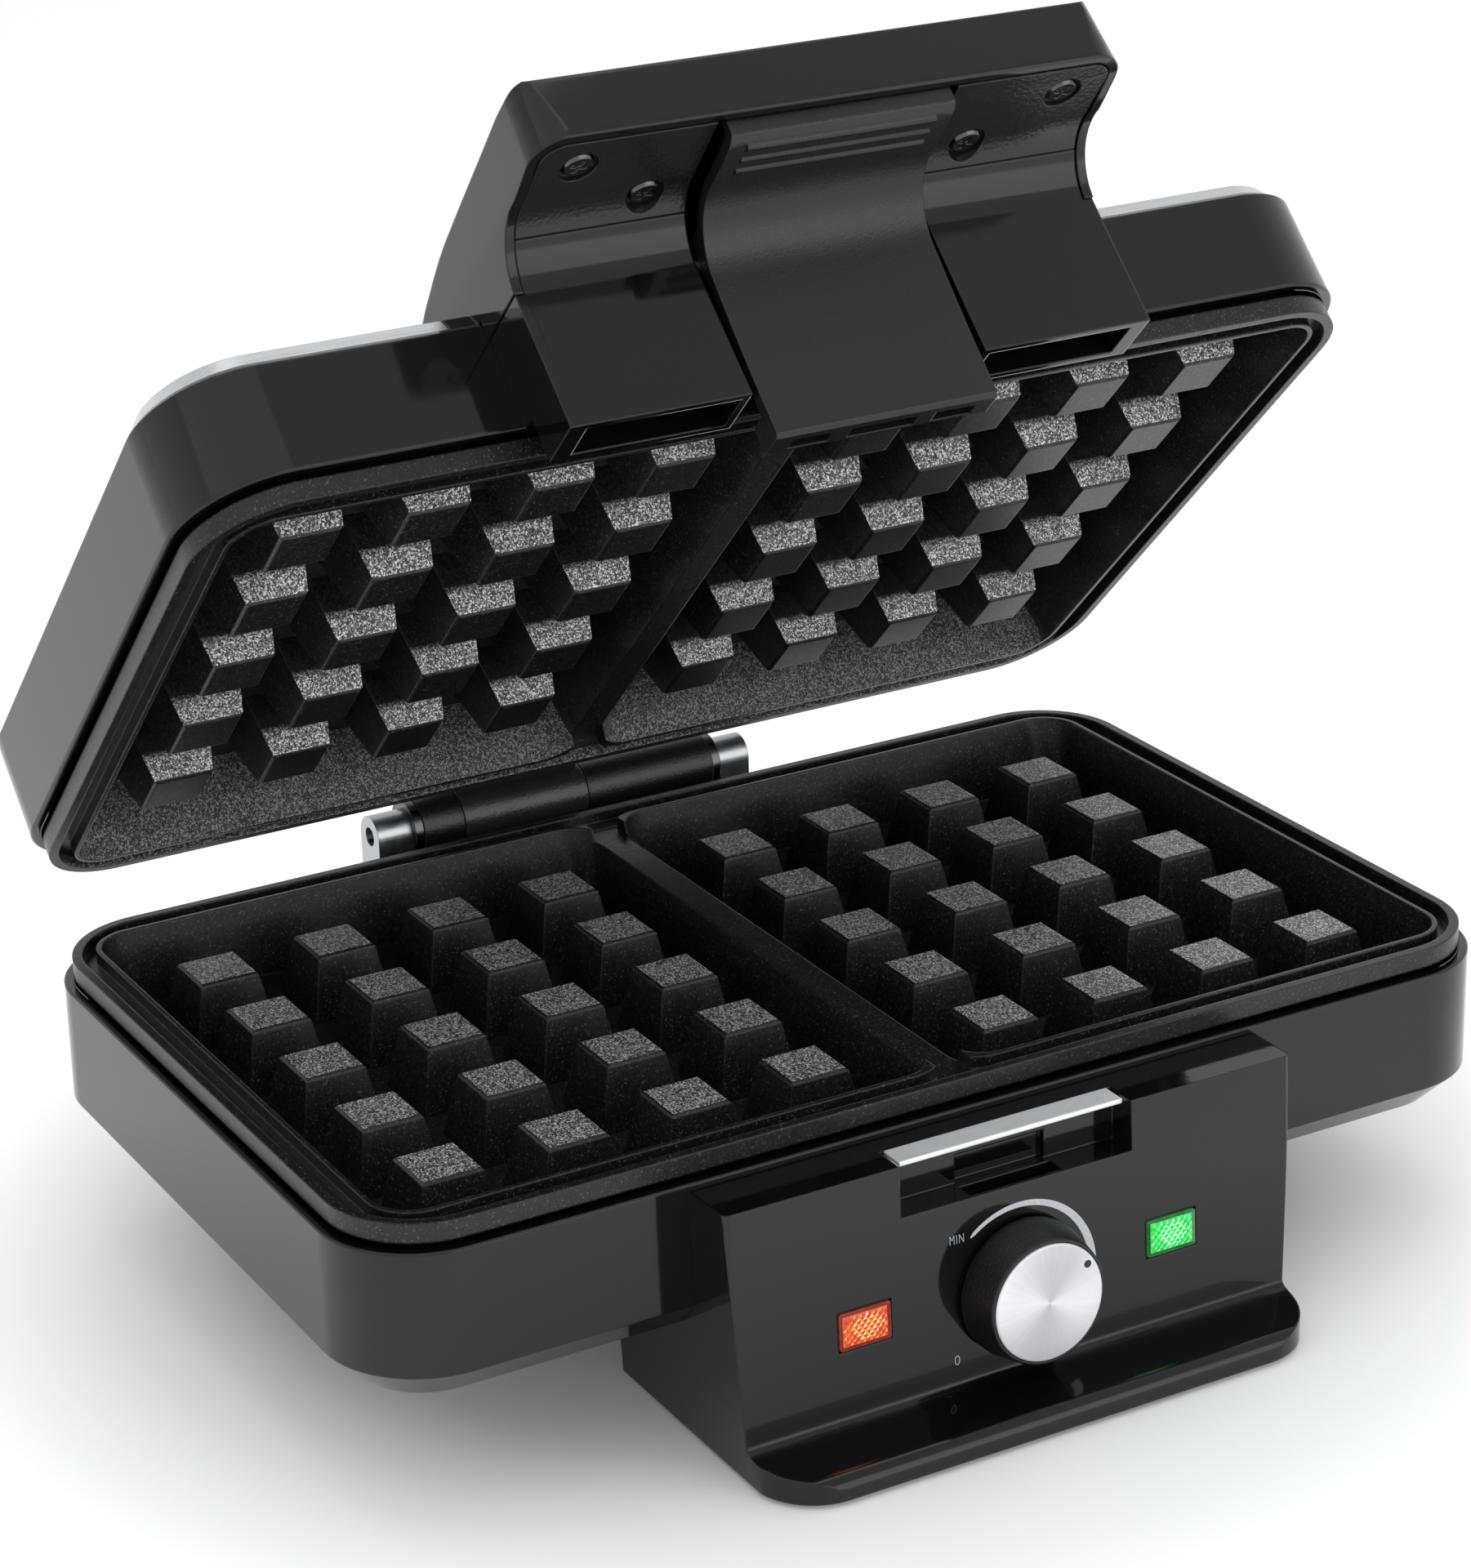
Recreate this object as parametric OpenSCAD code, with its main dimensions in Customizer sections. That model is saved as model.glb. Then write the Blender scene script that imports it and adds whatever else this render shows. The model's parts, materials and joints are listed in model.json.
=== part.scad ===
// Double Belgian waffle maker: base with control console, hinged lid with latch lever.
// Millimetres. X to the right, Y to the back, Z up. The floor is z = 0.
// The lid is drawn shut, then swung open about the hinge by lid_open.

/* [Casing] */
// casing width
body_w = 250; // [220:1:280]
// casing depth
body_d = 156.9; // [140:0.1:180]
// casing corner radius
body_r = 20; // [12:1:30]
// top edge of the base casing
base_top = 55.1; // [45:0.1:65]
// underside of the base casing
base_bot = 24; // [15:0.5:35]
// chamfer along the lower edge of the base casing
base_chamfer = 6.5; // [3:0.5:10]
// lower edge of the lid casing, lid shut
lid_bot = 65.7; // [60:0.1:75]
// top edge of the lid casing, lid shut
lid_top = 88; // [80:0.5:100]
// casing wall thickness
wall = 2; // [1.5:0.1:3]

/* [Grid plates] */
// plate width over the rim
plate_w = 246.1; // [220:0.1:260]
// plate depth over the rim
plate_d = 153.4; // [140:0.1:170]
// rim height of the lower plate
rim_z = 60.05; // [55:0.05:70]
// gap between the two rims, lid shut
rim_gap = 0.5; // [0.2:0.1:2]
// height of the outer rim wall
rim_h = 3.9; // [3:0.1:6]
// depth of the waffle cavity
cav_h = 15.6; // [10:0.1:20]
// how far the peg tops lie below the rim
peg_drop = 2.6; // [1:0.1:5]
// width of a peg at its top
peg_top = 12.2; // [8:0.1:16]
// width of a peg at its foot
peg_foot = 17.4; // [10:0.1:20]
// peg spacing across
peg_dx = 25.4; // [20:0.1:30]
// peg spacing front to back
peg_dy = 25; // [20:0.1:30]
// half width of the divider between the cavities
divider_hw = 2.8; // [2:0.1:5]

/* [Console] */
// half width of the console at its top
con_hw = 61.7; // [50:0.1:80]
// top of the console
con_top = 54.3; // [45:0.1:55]
// front edge of the console top
con_y = -91.43; // [-110:0.01:-80]
// length of the sloping panel
panel_len = 46.2; // [35:0.1:60]
// lean of the panel from upright, degrees
panel_lean = 2.84; // [0:0.01:15]
// front of the stand lip
lip_y = -108.4; // [-120:0.1:-95]
// thickness of the rubber feet that shows
foot_gap = 0.8; // [0.5:0.1:3]

/* [Latch] */
// half width of the notch in the console
notch_hw = 25.2; // [20:0.1:35]
// depth of the notch
notch_h = 10.1; // [6:0.1:15]
// half width of the latch lever
lever_hw = 23.2; // [15:0.1:30]
// latch pivot, front to back, lid shut
piv_y = -89.5; // [-95:0.1:-85]
// latch pivot height, lid shut
piv_z = 86; // [80:0.1:95]

/* [Knob and lamps] */
// knob centre below the panel top edge
knob_down = 30.4; // [20:0.1:40]
// knob radius at its foot
knob_r = 13.7; // [8:0.1:18]
// radius of the knob face disc
disc_r = 11.7; // [6:0.1:16]
// lamp centre from the middle
lamp_x = 33.7; // [25:0.1:50]
// lamp window width
lamp_w = 11.2; // [6:0.1:16]
// lamp window height
lamp_h = 7.8; // [4:0.1:12]

/* [Hinge] */
// hinge axis, front to back
hin_y = 89.5; // [85:0.1:100]
// hinge axis height
hin_z = 59.6; // [50:0.1:70]
// hinge barrel radius
bar_r = 6.5; // [4:0.1:9]
// how far the lid stands open, degrees
lid_open = 44.8; // [0:0.1:100]

/* [Handle] */
// half width of the handle
han_hw = 61.2; // [50:0.1:80]
// front of the handle at its lower edge
han_y = -122.7; // [-135:0.1:-115]
// lower edge of the handle front wall
han_low = 96.8; // [92:0.1:105]
// top of the handle
han_top = 110.3; // [100:0.1:125]
// plan radius of the handle's front corners
han_r = 7; // [3:0.5:12]
// lower edge of the front skirts
skirt_bot = 56.4; // [50:0.1:65]

/* [Hidden] */
cut = 40;
in_w = body_w - 2 * wall;
in_d = body_d - 2 * wall;
in_r = body_r - wall;
front_y = -body_d / 2;
back_y = body_d / 2;
bell_y = back_y - base_chamfer;
floor_in = base_bot + wall;
plate_r = body_r - 1.5;
land = 2;
ridge_in = 6.05;
ridge_w = 1;
chan_h = 2.5;
cav_x1 = plate_w / 2 - ridge_in - ridge_w;
cav_y1 = plate_d / 2 - ridge_in - 0.35;
cav_w = cav_x1 - divider_hw;
cav_mid = (cav_x1 + divider_hw) / 2;
cav_r = 8;
cav_draft = 3;
skin = 2.5;
tub_in = 4.5;
tub_draft = 4;
peg_h = cav_h - peg_drop;
peg_bevel = 0.5;
peg_x0 = 21.2;
peg_y0 = -50.8;
peg_nx = 4;
peg_ny = 5;
tub_low = cav_h + skin;
boss_x = 84.7;
boss_y = 45;
boss_r = 4.6;
boss_lo = 11.75;
boss_hi = 7.75;
screw_r = 2;
fit = 0.05;
refl_t = 0.8;
refl_z = rim_z - tub_low - boss_lo - refl_t;
head_r = 3.8;
head_h = 2.4;
el_r = 3.3;
el_x = 70;
el_y = 32;
el_bend = 18;
el_gap = 12;
panel_x = con_hw - 2.2;
crease_y = con_y - panel_len * sin(panel_lean);
crease_z = con_top - panel_len * cos(panel_lean);
taper = (con_hw - panel_x) / (con_top - crease_z);
stand_y = -46;
rim_hi = rim_z + rim_gap;
crown_h = 3;
crown_in = 9;
crown_t = 1.8;
lid_refl = rim_hi + tub_low + boss_hi + refl_t;
hs = sqrt(2);
shaft_r = 3;
bush_r = 4;
key_z = 53.4;
key_t = 1;
key_y = -89.9;
key_back = -84.4;
key_hw = 24.3;
rear_y = 106.9;
rear_top = 41;
rear_front = 40;
gland_out = 1.5;
gland_r = 3.5;
gland_z = 18;
pin_r = 2;
lid_k0 = -25.6;
lid_k1 = 4.3;
bar_end = 35;
cap_t = 2;
end_t = 8;
side_gap = 0.2;
cov_t = 0.8;
han_wall = 1.9;
han_lean = 1.3;
han_flare = 0.8;
flange_hw = 66.8;
sweep_y = -105.8;
sweep_z = 83;
sweep_r = 11.9;
plate_drop = 0.3;
plate_t = 2.2;
rim_end = 84;
skirt_hw = 61;
skirt_t = 1.5;
grip_y = -107.8;
grip_z = 78.9;
grip_r = 13;
grip_t = 2.2;
pin2_r = 1.5;

// ---------- shared shapes ----------

// rectangle with true round corners, centred
module round_rect(w, d, r) {
    square([w - 2 * r, d], center = true);
    square([w, d - 2 * r], center = true);
    for (sx = [-1, 1])
        for (sy = [-1, 1])
            translate([sx * (w / 2 - r), sy * (d / 2 - r)])
                circle(r = r, $fn = 48);
}

// points along an arc from angle a0 to a1, centre and result in [y, z]
function arc(cy, cz, r, a0, a1, n) = [for (i = [0:n])
    let (a = a0 + (a1 - a0) * i / n) [cy + r * cos(a), cz + r * sin(a)]];

// upright slab with round corners
module slab(w, d, r, z0, h) {
    translate([0, 0, z0])
        linear_extrude(height = h)
            round_rect(w, d, r);
}

// slab whose sides slope: inset i0 at the foot, i1 at the top
module taper_slab(w, d, r, z0, h, i0, i1) {
    translate([0, d / 2 - r, 0])
        rotate([90, 0, 0])
            linear_extrude(height = d - 2 * r)
                polygon([[i0 - w / 2, z0], [w / 2 - i0, z0],
                    [w / 2 - i1, z0 + h], [i1 - w / 2, z0 + h]]);
    translate([r - w / 2, 0, 0])
        rotate([90, 0, 90])
            linear_extrude(height = w - 2 * r)
                polygon([[i0 - d / 2, z0], [d / 2 - i0, z0],
                    [d / 2 - i1, z0 + h], [i1 - d / 2, z0 + h]]);
    for (sx = [-1, 1])
        for (sy = [-1, 1])
            translate([sx * (w / 2 - r), sy * (d / 2 - r), z0])
                cylinder(r1 = r - i0, r2 = r - i1, h = h, $fn = 48);
}

// side profile in Y and Z, drawn out along X from x0 to x1
module side_cut(x0, x1, pts) {
    translate([x0, 0, 0])
        rotate([90, 0, 90])
            linear_extrude(height = x1 - x0)
                polygon(pts);
}

// front profile in X and Z, drawn out along Y from y0 to y1
module front_cut(y0, y1) {
    translate([0, y1, 0])
        rotate([90, 0, 0])
            linear_extrude(height = y1 - y0)
                children();
}

// box between two corners
module box(x0, x1, y0, y1, z0, z1) {
    translate([x0, y0, z0])
        cube([x1 - x0, y1 - y0, z1 - z0]);
}

// rod along X
module rod(r, x0, x1, y, z) {
    translate([x0, y, z])
        rotate([0, 90, 0])
            cylinder(r = r, h = x1 - x0, $fn = 48);
}

// the four places where the plates are screwed down
module at_bosses() {
    for (sx = [-1, 1])
        for (sy = [-1, 1])
            translate([sx * boss_x, sy * boss_y, 0])
                children();
}

// panel frame: X across, Y up the panel, Z out of the panel, from the panel top edge
module on_panel() {
    translate([0, con_y, con_top])
        rotate([90 - panel_lean, 0, 0])
            children();
}

// swings a shut lid part to its open place
module swing() {
    translate([0, hin_y, hin_z])
        rotate([-lid_open, 0, 0])
            translate([0, -hin_y, -hin_z])
                children();
}

// ---------- grid plates ----------

// waffle cavity of one side, rim at z = 0
module cavity(side) {
    translate([side * cav_mid, 0, 0])
        taper_slab(cav_w, 2 * cav_y1, cav_r, -cav_h, cav_h + 0.02, cav_draft, 0);
}

// outline of the raised ridge round one cavity
module ridge_outline(side) {
    rx = cav_x1 + ridge_w;
    translate([side * rx / 2, 0, 0])
        slab(rx, 2 * (cav_y1 + ridge_w), cav_r + ridge_w, -cav_h, 2 * cav_h);
}

// square peg with a slope and a small bevel
module peg() {
    slope = (peg_foot - peg_top) / 2 / peg_h;
    a = peg_foot / 2;
    b = peg_top / 2 + slope * peg_bevel;
    c = b - peg_bevel;
    side = [[-a, -cav_h], [a, -cav_h], [b, -peg_drop - peg_bevel],
        [c, -peg_drop], [-c, -peg_drop], [-b, -peg_drop - peg_bevel]];
    intersection() {
        front_cut(-peg_foot, peg_foot)
            polygon(side);
        side_cut(-peg_foot, peg_foot, side);
    }
}

// one cast plate with bosses below, rim at z = 0, facing up
module grid_plate(boss_len) {
    difference() {
        union() {
            slab(plate_w, plate_d, plate_r, -rim_h, rim_h);
            taper_slab(plate_w - 2 * tub_in, plate_d - 2 * tub_in, plate_r - tub_in,
                -tub_low, tub_low - rim_h + fit, tub_draft, 0);
            at_bosses()
                translate([0, 0, -tub_low - boss_len])
                    cylinder(r = boss_r, h = boss_len + fit, $fn = 32);
        }
        difference() {
            slab(plate_w - 2 * land, plate_d - 2 * land, plate_r - land, -chan_h, chan_h + 1);
            ridge_outline(-1);
            ridge_outline(1);
        }
        cavity(-1);
        cavity(1);
        box(-divider_hw - 1, divider_hw + 1, -cav_y1, cav_y1, -peg_drop, 1);
        at_bosses()
            translate([0, 0, -tub_low - boss_len - 1])
                cylinder(r = screw_r + fit, h = boss_len + 1, $fn = 24);
    }
}

// the pegs that stand on the plate's floor
module grid_pegs() {
    for (side = [-1, 1])
        for (i = [0:peg_nx - 1])
            for (k = [0:peg_ny - 1])
                translate([side * (peg_x0 + i * peg_dx), peg_y0 + k * peg_dy, 0])
                    peg();
}

// screw pointing up from z = 0, head below
module plate_screw(len) {
    cylinder(r = screw_r, h = len, $fn = 24);
    difference() {
        translate([0, 0, -head_h])
            cylinder(r = head_r - 0.3, h = head_h, $fn = 24);
        for (a = [0, 90])
            rotate([0, 0, a])
                translate([-2, -0.4, -head_h - 1])
                    cube([4, 0.8, 2.2]);
    }
}

// the same screw with a low head
module plate_screw_flat(len) {
    cylinder(r = screw_r, h = len, $fn = 24);
    translate([0, 0, -0.7])
        cylinder(r = head_r - 0.3, h = 0.7, $fn = 24);
}

// tubular heating loop, plate underside at z = 0, hanging below
module heating_loop() {
    run = el_x - el_bend;
    translate([0, 0, -el_r]) {
        rod(el_r, -run, run, -el_y, 0);
        rod(el_r, el_gap, run, el_y, 0);
        rod(el_r, -run, -el_gap, el_y, 0);
        for (sx = [-1, 1]) {
            translate([sx * el_x, el_y - el_bend, 0])
                rotate([90, 0, 0])
                    cylinder(r = el_r, h = 2 * (el_y - el_bend), $fn = 48);
            for (sy = [-1, 1])
                translate([sx * run, sy * (el_y - el_bend), 0])
                    rotate([0, 0, sx > 0 ? (sy > 0 ? 0 : -90) : (sy > 0 ? 90 : 180)])
                        rotate_extrude(angle = 90, $fn = 48)
                            translate([el_bend, 0])
                                circle(r = el_r, $fn = 48);
            rod(1.2, sx > 0 ? el_gap - 7 : -el_gap, sx > 0 ? el_gap : 7 - el_gap, el_y, 0);
        }
    }
}

// ---------- base ----------

module base_shell() {
    difference() {
        union() {
            taper_slab(body_w, body_d, body_r, base_bot, base_chamfer, base_chamfer, 0);
            slab(body_w, body_d, body_r, base_bot + base_chamfer - fit,
                base_top - base_bot - base_chamfer - 0.3 + fit);
            taper_slab(body_w, body_d, body_r, base_top - 0.3, 0.3, 0, 0.3);
        }
        taper_slab(in_w, in_d, in_r, floor_in, base_chamfer - 1, base_chamfer - 1, 0);
        slab(in_w, in_d, in_r, floor_in + base_chamfer - 1 - fit, cut);
    }
    at_bosses()
        translate([0, 0, floor_in - fit])
            cylinder(r = boss_r, h = refl_z - floor_in + fit, $fn = 32);
}

module base_casing() {
    color("#141414")
        difference() {
            base_shell();
            at_bosses() {
                translate([0, 0, base_bot - 1])
                    cylinder(r = head_r, h = head_h + 1.2, $fn = 32);
                translate([0, 0, base_bot])
                    cylinder(r = screw_r + 0.1, h = cut / 2, $fn = 24);
            }
            for (y = [-60, 62])
                translate([0, y, base_bot - 1])
                    cylinder(r = 7, h = wall + 2, $fn = 32);
            screw_places()
                translate([0, 0, base_bot - 1])
                    cylinder(r = 1.5 + fit, h = wall + 2, $fn = 24);
        }
}

// outside of the console and its stand, seen from the side
con_side = [[con_y, con_top], [crease_y, crease_z], [crease_y - 0.35, crease_z - 0.6],
    [crease_y - 1.1, crease_z - 1.15], [crease_y - 2.4, crease_z - 1.55],
    [crease_y - 4.4, crease_z - 1.85], [crease_y - 8, crease_z - 2.25], [lip_y + 2.6, 5.5],
    [lip_y + 1.5, 5.1], [lip_y + 0.7, 4.5], [lip_y + 0.2, 3.7], [lip_y, 2.7],
    [lip_y, foot_gap], [stand_y, foot_gap],
    [stand_y, base_bot], [-bell_y, base_bot], [front_y, base_bot + base_chamfer],
    [front_y, con_top]];

module control_body() {
    intersection() {
        side_cut(-cut * 2, cut * 2, con_side);
        front_cut(-cut * 3, 0)
            polygon([[-panel_x + crease_z * taper, 0], [panel_x - crease_z * taper, 0],
                [con_hw, con_top], [-con_hw, con_top]]);
        union() {
            on_panel()
                translate([0, 4, 0])
                    rotate([90, 0, 0])
                        linear_extrude(height = panel_len + 12)
                            translate([0, -cut])
                                round_rect(2 * con_hw, 2 * cut, 1.4);
            translate([0, 0, foot_gap])
                linear_extrude(height = crease_z - foot_gap)
                    translate([0, lip_y + cut])
                        round_rect(2 * panel_x - 0.2, 2 * cut, 13);
        }
    }
}

// hollow inside of the console
module control_hollow() {
    y1 = stand_y - wall;
    low = con_top - notch_h - wall;
    for (x = [-1, 1])
        intersection() {
            side_cut(x > 0 ? notch_hw + wall : 2 - con_hw - 1, x > 0 ? con_hw - 3 : -notch_hw - wall,
                [[con_y + wall, con_top - wall], [crease_y + wall, crease_z],
                    [-bell_y, crease_z], [front_y + 0.8, base_bot + 5], [front_y + 0.8, con_top - wall]]);
            box(-con_hw + 4, con_hw - 4, -cut * 3, 0, 0, cut * 2);
        }
    side_cut(4 - con_hw, con_hw - 4, [[con_y + wall + 0.4, low], [crease_y + wall, crease_z - 1.5],
        [crease_y + wall, 0], [y1, 0], [y1, base_bot - 1.6], [-bell_y + 0.4, base_bot - 1.6],
        [front_y + 0.2, base_bot + base_chamfer], [front_y + 0.2, low]]);
    side_cut(8 - con_hw, con_hw - 8, [[lip_y + 8, 0], [lip_y + 8, foot_gap + wall],
        [crease_y + wall + fit, foot_gap + wall], [crease_y + wall + fit, 0]]);
}

// open notch for the latch hook
module notch_cut() {
    nz = con_top - notch_h;
    side_cut(-notch_hw, notch_hw, [[-cut * 3, nz], [-85.5, nz], [-85.5, key_z],
        [key_back, key_z], [key_back, con_top + 1], [-cut * 3, con_top + 1]]);
    box(-9.7, 9.7, -86, -84.2, nz + 0.1, nz + 5.8);
    box(-10, 10, -91, -87, nz - 3, nz + 1);
}

module control_housing() {
    color("#131313")
        difference() {
            union() {
                difference() {
                    control_body();
                    control_hollow();
                }
                stand_posts(-1, base_bot - 1);
                on_panel()
                    translate([0, -knob_down, -3.4])
                        cylinder(r = bush_r + 3, h = 3, $fn = 32);
            }
            notch_cut();
            keeper_shape(fit);
            screw_places()
                cylinder(r = 1.5 + fit, h = cut, $fn = 24);
            on_panel() {
                translate([0, -knob_down, -8])
                    cylinder(r = bush_r + 0.1, h = 10, $fn = 32);
                for (s = [-1, 1])
                    translate([s * lamp_x, -29.3, -4])
                        linear_extrude(height = 8)
                            square([lamp_w + 0.2, lamp_h + 0.2], center = true);
            }
        }
}

// front and rear closing plates under the stands
module stand_plates() {
    color("#1d1d1d")
        difference() {
            union() {
                box(5 - con_hw, con_hw - 5, crease_y + 3.5, stand_y - wall - 0.2,
                    foot_gap, foot_gap + wall);
                box(-56, 56, rear_front + wall + 0.2, rear_y - wall - 3.2,
                    foot_gap, foot_gap + wall);
            }
            foot_places()
                translate([0, 0, -1])
                    cylinder(r = 6.1, h = foot_gap + 2.2, $fn = 32);
            screw_places()
                translate([0, 0, -1])
                    cylinder(r = 1.6, h = 6, $fn = 24);
        }
}

module foot_places() {
    for (sx = [-1, 1])
        for (y = [-82, 96])
            translate([sx * 46, y, 0])
                children();
}

module screw_places() {
    for (sx = [-1, 1])
        for (y = [-60, 60])
            translate([sx * 46, y, 0])
                children();
}

module rubber_feet() {
    color("#0b0b0b")
        foot_places() {
            cylinder(r1 = 5.6, r2 = 6, h = 0.5, $fn = 32);
            translate([0, 0, 0.45])
                cylinder(r = 6, h = foot_gap + 0.7, $fn = 32);
        }
}

module stand_screws() {
    color("#8c8f92")
        screw_places() {
            translate([0, 0, foot_gap - 0.1])
                cylinder(r = 1.5, h = base_bot + wall - foot_gap - 0.2, $fn = 24);
            translate([0, 0, foot_gap - 0.5])
                cylinder(r = 2.9, h = 0.5, $fn = 24);
        }
}

module rear_shell() {
    hw = 60;
    difference() {
        side_cut(-hw, hw, [[rear_front, foot_gap], [rear_y - 4, foot_gap], [rear_y, 5],
            [rear_y, rear_top - 4], [rear_y - 4, rear_top], [back_y, rear_top],
            [back_y, base_bot + base_chamfer], [bell_y, base_bot], [rear_front, base_bot]]);
        side_cut(wall - hw, hw - wall, [[rear_front + wall, 0], [rear_y - 3 - wall, 0],
            [rear_y - wall, 5], [rear_y - wall, rear_top - 5], [rear_y - wall - 3, rear_top - wall],
            [back_y + wall, rear_top - wall], [back_y + wall, base_bot + base_chamfer - 2],
            [bell_y, base_bot - wall], [rear_front + wall, base_bot - wall]]);
        translate([0, cut * 3, gland_z])
            rotate([90, 0, 0])
                cylinder(r = gland_r + 2, h = cut, $fn = 32);
        translate([0, 62, base_bot - 5])
            cylinder(r = 6, h = 8, $fn = 32);
    }
}

// screw posts of a stand; side -1 is the front, 1 the rear
module stand_posts(side, top) {
    for (sx = [-1, 1])
        translate([sx * 46, side * 60, foot_gap + wall])
            cylinder(r = 4, h = top - foot_gap - wall, $fn = 32);
}

module rear_stand() {
    color("#151515")
        difference() {
            union() {
                rear_shell();
                stand_posts(1, base_bot - 1);
            }
            screw_places()
                cylinder(r = 1.5 + fit, h = cut, $fn = 24);
        }
}

module lower_grid_plate() {
    color("#2b2b2d")
        translate([0, 0, rim_z])
            grid_plate(boss_lo);
}

module lower_pegs() {
    color("#2b2b2d")
        translate([0, 0, rim_z])
            grid_pegs();
}

module lower_plate_screws() {
    color("#8c8f92")
        at_bosses()
            translate([0, 0, base_bot + head_h + 0.2])
                plate_screw(12.5);
}

module lower_heating_element() {
    color("#5a5a5c")
        translate([0, 0, rim_z - tub_low])
            heating_loop();
}

// thin bright tray, floor at z = 0
module reflector_tray(h) {
    difference() {
        slab(206, 118, 12, 0, h);
        slab(206 - 2 * refl_t, 118 - 2 * refl_t, 12 - refl_t, refl_t, h);
        at_bosses()
            translate([0, 0, -1])
                cylinder(r = screw_r + 0.1, h = 3, $fn = 24);
        for (sx = [-1, 1])
            translate([sx * (el_gap + 0.5), el_y, -1])
                cylinder(r = 3, h = 3, $fn = 24);
    }
}

module lower_reflector() {
    color("#b9bcc0")
        translate([0, 0, refl_z])
            reflector_tray(6);
}

module thermostat_body() {
    color("#c9b48a")
        on_panel()
            translate([0, -knob_down, 0])
                difference() {
                    union() {
                        translate([0, 0, -13])
                            cylinder(r = 11, h = 9.5, $fn = 48);
                        translate([0, 0, -3.6])
                            cylinder(r = bush_r, h = 4, $fn = 32);
                        translate([-4, -16, -11])
                            cube([8, 6, 1.2]);
                    }
                    translate([0, 0, -12])
                        cylinder(r = shaft_r + fit, h = 20, $fn = 48);
                }
}

module thermal_fuse() {
    color("#d8d3c4")
        rod(3, 30, 46, 0, refl_z + refl_t + 3);
}

module terminal_block() {
    color("#e6e2d6")
        difference() {
            box(-18, 18, 50, 62, foot_gap + wall, foot_gap + wall + 12);
            for (x = [-12, 0, 12]) {
                translate([x, 56, foot_gap + wall + 6])
                    cylinder(r = 2.2, h = 10, $fn = 24);
                translate([x, 49, foot_gap + wall + 5])
                    rotate([-90, 0, 0])
                        cylinder(r = 1.6, h = 14, $fn = 24);
            }
        }
}

// lamp lens in the panel, with a clip flange behind
module lens(s) {
    on_panel()
        translate([s * lamp_x, -29.3, 0]) {
            translate([0, 0, -3])
                linear_extrude(height = 3.25)
                    square([lamp_w, lamp_h], center = true);
            translate([0, 0, 0.2])
                front_prisms();
            translate([0, 0, -3.4])
                linear_extrude(height = 1)
                    square([lamp_w + 1.6, lamp_h + 1.6], center = true);
        }
}

// rows of fine prisms on the lens face
module front_prisms() {
    n = 7;
    step = lamp_w / n;
    for (i = [0:n - 1])
        translate([-lamp_w / 2 + i * step, lamp_h / 2, 0])
            rotate([90, 0, 0])
                linear_extrude(height = lamp_h)
                    polygon([[0.02, 0], [step - 0.02, 0], [step / 2, 0.35]]);
}

module lamp_lens_orange() {
    color("#ff7a1a")
        lens(-1);
}

module lamp_lens_green() {
    color("#3fd07a")
        lens(1);
}

module lamp_holders() {
    color("#222222")
        on_panel()
            for (s = [-1, 1])
                translate([s * lamp_x, -29.3, -11.4])
                    difference() {
                        linear_extrude(height = 8)
                            square([lamp_w + 1, lamp_h + 1], center = true);
                        translate([0, 0, 1.5])
                            cylinder(r = 3, h = 10, $fn = 32);
                    }
}

module lamp_bulbs() {
    color("#f4e9d0")
        on_panel()
            for (s = [-1, 1])
                translate([s * lamp_x, -29.3, -9.9]) {
                    cylinder(r = 2.4, h = 4, $fn = 32);
                    translate([0, 0, 4])
                        sphere(r = 2.4, $fn = 32);
                }
}

// bright strip that the hook pulls against, with a tongue held in the console
module keeper_shape(g) {
    side_cut(-key_hw - g, key_hw + g, [[key_y, key_z], [-86.3 - g, key_z], [-86.3 - g, key_z - 2 - g],
        [-81.5 + g, key_z - 2 - g], [-81.5 + g, key_z - 1 + g], [-85.5, key_z - 1 + g],
        [-85.5, key_z], [key_back, key_z], [key_back, key_z + key_t], [key_y, key_z + key_t]]);
}

module latch_keeper() {
    color("#d5d7d8")
        keeper_shape(0);
}

module cord_inlet_gland() {
    color("#101010")
        translate([0, rear_y, gland_z])
            rotate([90, 0, 0])
                difference() {
                    union() {
                        translate([0, 0, -gland_out])
                            cylinder(r = gland_r + 4, h = gland_out, $fn = 48);
                        translate([0, 0, -fit])
                            cylinder(r = gland_r + 1.9, h = 8, $fn = 48);
                    }
                    translate([0, 0, -5])
                        cylinder(r = gland_r, h = 20, $fn = 48);
                }
}

// ---------- hinge ----------

// barrel with a post standing on the rear stand
module hinge_post(x0, x1) {
    rod(bar_r, x0, x1, hin_y, hin_z);
    box(x0, x1, hin_y - bar_r + 0.5, hin_y + bar_r - 0.5, rear_top, hin_z);
}

module hinge_posts() {
    color("#1b1b1b")
        difference() {
            union() {
                hinge_post(-bar_end, lid_k0);
                hinge_post(lid_k1, bar_end);
            }
            rod(pin_r + fit, -cut, cut, hin_y, hin_z);
        }
}

module hinge_end_plates() {
    color("#9a9c9e")
        difference() {
            for (sx = [-1, 1])
                translate([sx > 0 ? bar_end + cap_t : -bar_end - cap_t - end_t, 0, 0]) {
                    box(0, end_t, hin_y - 4.5, hin_y + 4.5, rear_top, hin_z);
                    rod(4.5, 0, end_t, hin_y, hin_z);
                }
            rod(pin_r + fit, -cut * 2, cut * 2, hin_y, hin_z);
        }
}

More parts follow.
